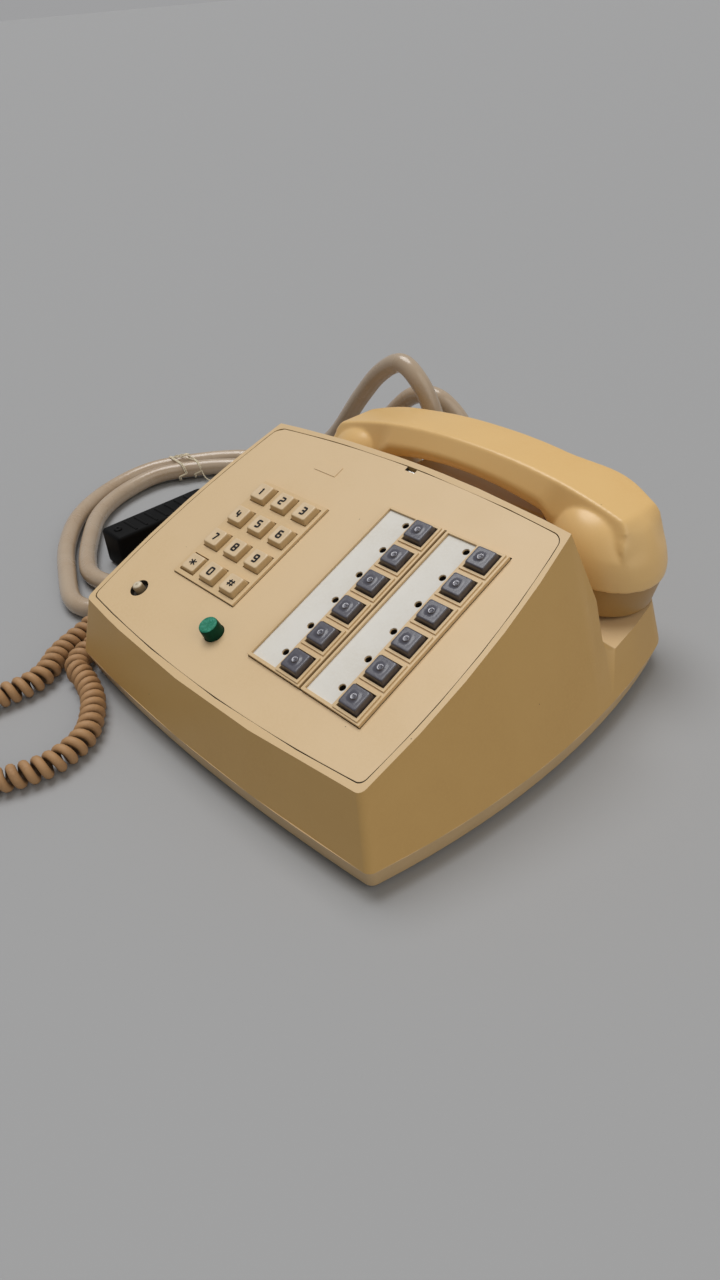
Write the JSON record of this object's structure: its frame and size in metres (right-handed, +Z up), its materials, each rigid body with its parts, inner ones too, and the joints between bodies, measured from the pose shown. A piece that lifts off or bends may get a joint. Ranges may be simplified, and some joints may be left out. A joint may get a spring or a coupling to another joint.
{
  "type": "corded landline phone",
  "caption": "Corded desk telephone: sloped push-button case with dial and line keys, lifting handset on a saddle, curly cord and looped line cable.",
  "frame": {"origin": "under the middle of the case's plan at its joint, on the surface that the feet stand on", "axes": "+Z up, +X to the right as the user faces the keys, +Y from the user's side to the back of the telephone"},
  "size_m": [0.4074, 0.3674, 0.1075],
  "materials": {
    "case_plastic": "aged cream moulded plastic, semi gloss",
    "frame_plastic": "aged cream moulded plastic",
    "key_plastic": "cream moulded plastic with printed black digits",
    "smoky_plastic": "smoky grey clear plastic",
    "green_plastic": "dark green moulded plastic",
    "stem_plastic": "cream bare plastic",
    "cap_plastic": "darker tan moulded plastic",
    "black_plastic": "black plastic",
    "label_paper": "white paper strip",
    "foot_rubber": "black rubber",
    "screw_steel": "zinc plated steel",
    "board": "brown circuit board",
    "lamp": "small lamps",
    "capsule_metal": "drawn metal can",
    "cord_tan": "tan flexible cord sheath",
    "cable_sheath": "glossy beige-grey cable sheath",
    "string": "cream cotton thread"
  },
  "bodies": {
    "root": {"housing": "case_plastic", "base_tray": "case_plastic", "rubber_feet": "foot_rubber", "case_screws": "screw_steel", "face_panel": "case_plastic", "latch_clip": "screw_steel", "dial_bezel": "frame_plastic", "dial_switch_board": "board", "line_frame_left": "frame_plastic", "line_frame_right": "frame_plastic", "label_left": "label_paper", "label_right": "label_paper", "line_switch_board": "board", "line_lamps": "lamp", "green_switch": "black_plastic", "spare_switch": "black_plastic", "hook_switch": "black_plastic", "main_board": "board", "ringer": "capsule_metal", "case_cord_relief": "cord_tan", "curly_cord": "cord_tan", "cable_gland": "cable_sheath", "line_cable": "cable_sheath", "cable_tie_string": "string", "line_connector": "black_plastic"},
    "hook": {"hook_plungers": "stem_plastic", "hook_bar": "screw_steel"},
    "handset": {"handset_shell": "case_plastic", "ear_cap": "cap_plastic", "mouth_cap": "cap_plastic", "receiver_capsule": "capsule_metal", "transmitter_capsule": "capsule_metal", "handset_cord_relief": "cord_tan"},
    "dial_key_1": {"dial_key_1": "key_plastic"},
    "dial_key_2": {"dial_key_2": "key_plastic"},
    "dial_key_3": {"dial_key_3": "key_plastic"},
    "dial_key_4": {"dial_key_4": "key_plastic"},
    "dial_key_5": {"dial_key_5": "key_plastic"},
    "dial_key_6": {"dial_key_6": "key_plastic"},
    "dial_key_7": {"dial_key_7": "key_plastic"},
    "dial_key_8": {"dial_key_8": "key_plastic"},
    "dial_key_9": {"dial_key_9": "key_plastic"},
    "dial_key_star": {"dial_key_star": "key_plastic"},
    "dial_key_0": {"dial_key_0": "key_plastic"},
    "dial_key_hash": {"dial_key_hash": "key_plastic"},
    "line_key_left_1": {"line_key_left_1": "smoky_plastic"},
    "line_key_left_2": {"line_key_left_2": "smoky_plastic"},
    "line_key_left_3": {"line_key_left_3": "smoky_plastic"},
    "line_key_left_4": {"line_key_left_4": "smoky_plastic"},
    "line_key_left_5": {"line_key_left_5": "smoky_plastic"},
    "line_key_left_6": {"line_key_left_6": "smoky_plastic"},
    "line_key_right_1": {"line_key_right_1": "smoky_plastic"},
    "line_key_right_2": {"line_key_right_2": "smoky_plastic"},
    "line_key_right_3": {"line_key_right_3": "smoky_plastic"},
    "line_key_right_4": {"line_key_right_4": "smoky_plastic"},
    "line_key_right_5": {"line_key_right_5": "smoky_plastic"},
    "line_key_right_6": {"line_key_right_6": "smoky_plastic"},
    "green_button": {"green_button": "green_plastic"},
    "spare_stem": {"spare_stem": "stem_plastic"}
  },
  "joints": [
    {"name": "dial_key_1_press", "type": "slide", "parent": "root", "child": "dial_key_1", "axis": [0, 0.3697, -0.9291], "range_m": [0, 0.003], "stiffness_N_per_m": 120, "springref_m": -0.002},
    {"name": "dial_key_2_press", "type": "slide", "parent": "root", "child": "dial_key_2", "axis": [0, 0.3697, -0.9291], "range_m": [0, 0.003], "stiffness_N_per_m": 120, "springref_m": -0.002},
    {"name": "dial_key_3_press", "type": "slide", "parent": "root", "child": "dial_key_3", "axis": [0, 0.3697, -0.9291], "range_m": [0, 0.003], "stiffness_N_per_m": 120, "springref_m": -0.002},
    {"name": "dial_key_4_press", "type": "slide", "parent": "root", "child": "dial_key_4", "axis": [0, 0.3697, -0.9291], "range_m": [0, 0.003], "stiffness_N_per_m": 120, "springref_m": -0.002},
    {"name": "dial_key_5_press", "type": "slide", "parent": "root", "child": "dial_key_5", "axis": [0, 0.3697, -0.9291], "range_m": [0, 0.003], "stiffness_N_per_m": 120, "springref_m": -0.002},
    {"name": "dial_key_6_press", "type": "slide", "parent": "root", "child": "dial_key_6", "axis": [0, 0.3697, -0.9291], "range_m": [0, 0.003], "stiffness_N_per_m": 120, "springref_m": -0.002},
    {"name": "dial_key_7_press", "type": "slide", "parent": "root", "child": "dial_key_7", "axis": [0, 0.3697, -0.9291], "range_m": [0, 0.003], "stiffness_N_per_m": 120, "springref_m": -0.002},
    {"name": "dial_key_8_press", "type": "slide", "parent": "root", "child": "dial_key_8", "axis": [0, 0.3697, -0.9291], "range_m": [0, 0.003], "stiffness_N_per_m": 120, "springref_m": -0.002},
    {"name": "dial_key_9_press", "type": "slide", "parent": "root", "child": "dial_key_9", "axis": [0, 0.3697, -0.9291], "range_m": [0, 0.003], "stiffness_N_per_m": 120, "springref_m": -0.002},
    {"name": "dial_key_star_press", "type": "slide", "parent": "root", "child": "dial_key_star", "axis": [0, 0.3697, -0.9291], "range_m": [0, 0.0014], "stiffness_N_per_m": 120, "springref_m": -0.002},
    {"name": "dial_key_0_press", "type": "slide", "parent": "root", "child": "dial_key_0", "axis": [0, 0.3697, -0.9291], "range_m": [0, 0.003], "stiffness_N_per_m": 120, "springref_m": -0.002},
    {"name": "dial_key_hash_press", "type": "slide", "parent": "root", "child": "dial_key_hash", "axis": [0, 0.3697, -0.9291], "range_m": [0, 0.003], "stiffness_N_per_m": 120, "springref_m": -0.002},
    {"name": "line_key_left_1_press", "type": "slide", "parent": "root", "child": "line_key_left_1", "axis": [0, 0.3697, -0.9291], "range_m": [0, 0.003], "stiffness_N_per_m": 120, "springref_m": -0.002},
    {"name": "line_key_left_2_press", "type": "slide", "parent": "root", "child": "line_key_left_2", "axis": [0, 0.3697, -0.9291], "range_m": [0, 0.003], "stiffness_N_per_m": 120, "springref_m": -0.002},
    {"name": "line_key_left_3_press", "type": "slide", "parent": "root", "child": "line_key_left_3", "axis": [0, 0.3697, -0.9291], "range_m": [0, 0.003], "stiffness_N_per_m": 120, "springref_m": -0.002},
    {"name": "line_key_left_4_press", "type": "slide", "parent": "root", "child": "line_key_left_4", "axis": [0, 0.3697, -0.9291], "range_m": [0, 0.003], "stiffness_N_per_m": 120, "springref_m": -0.002},
    {"name": "line_key_left_5_press", "type": "slide", "parent": "root", "child": "line_key_left_5", "axis": [0, 0.3697, -0.9291], "range_m": [0, 0.003], "stiffness_N_per_m": 120, "springref_m": -0.002},
    {"name": "line_key_left_6_press", "type": "slide", "parent": "root", "child": "line_key_left_6", "axis": [0, 0.3697, -0.9291], "range_m": [0, 0.003], "stiffness_N_per_m": 120, "springref_m": -0.002},
    {"name": "line_key_right_1_press", "type": "slide", "parent": "root", "child": "line_key_right_1", "axis": [0, 0.3697, -0.9291], "range_m": [0, 0.003], "stiffness_N_per_m": 120, "springref_m": -0.002},
    {"name": "line_key_right_2_press", "type": "slide", "parent": "root", "child": "line_key_right_2", "axis": [0, 0.3697, -0.9291], "range_m": [0, 0.003], "stiffness_N_per_m": 120, "springref_m": -0.002},
    {"name": "line_key_right_3_press", "type": "slide", "parent": "root", "child": "line_key_right_3", "axis": [0, 0.3697, -0.9291], "range_m": [0, 0.003], "stiffness_N_per_m": 120, "springref_m": -0.002},
    {"name": "line_key_right_4_press", "type": "slide", "parent": "root", "child": "line_key_right_4", "axis": [0, 0.3697, -0.9291], "range_m": [0, 0.003], "stiffness_N_per_m": 120, "springref_m": -0.002},
    {"name": "line_key_right_5_press", "type": "slide", "parent": "root", "child": "line_key_right_5", "axis": [0, 0.3697, -0.9291], "range_m": [0, 0.003], "stiffness_N_per_m": 120, "springref_m": -0.002},
    {"name": "line_key_right_6_press", "type": "slide", "parent": "root", "child": "line_key_right_6", "axis": [0, 0.3697, -0.9291], "range_m": [0, 0.003], "stiffness_N_per_m": 120, "springref_m": -0.002},
    {"name": "green_button_press", "type": "slide", "parent": "root", "child": "green_button", "axis": [0, 0.3697, -0.9291], "range_m": [0, 0.003], "stiffness_N_per_m": 120, "springref_m": -0.002},
    {"name": "spare_stem_press", "type": "slide", "parent": "root", "child": "spare_stem", "axis": [0, 0.3697, -0.9291], "range_m": [0, 0.003], "stiffness_N_per_m": 120, "springref_m": -0.002},
    {"name": "handset_lift", "type": "slide", "parent": "root", "child": "handset", "axis": [0, 0, 1], "range_m": [0, 0.07]},
    {"name": "hook_rise", "type": "slide", "parent": "root", "child": "hook", "axis": [0, 0, 1], "range_m": [0, 0.005]}
  ],
  "couplings": [
    {"joint": "hook_rise", "follows": "handset_lift", "ratio": 0.071429}
  ]
}
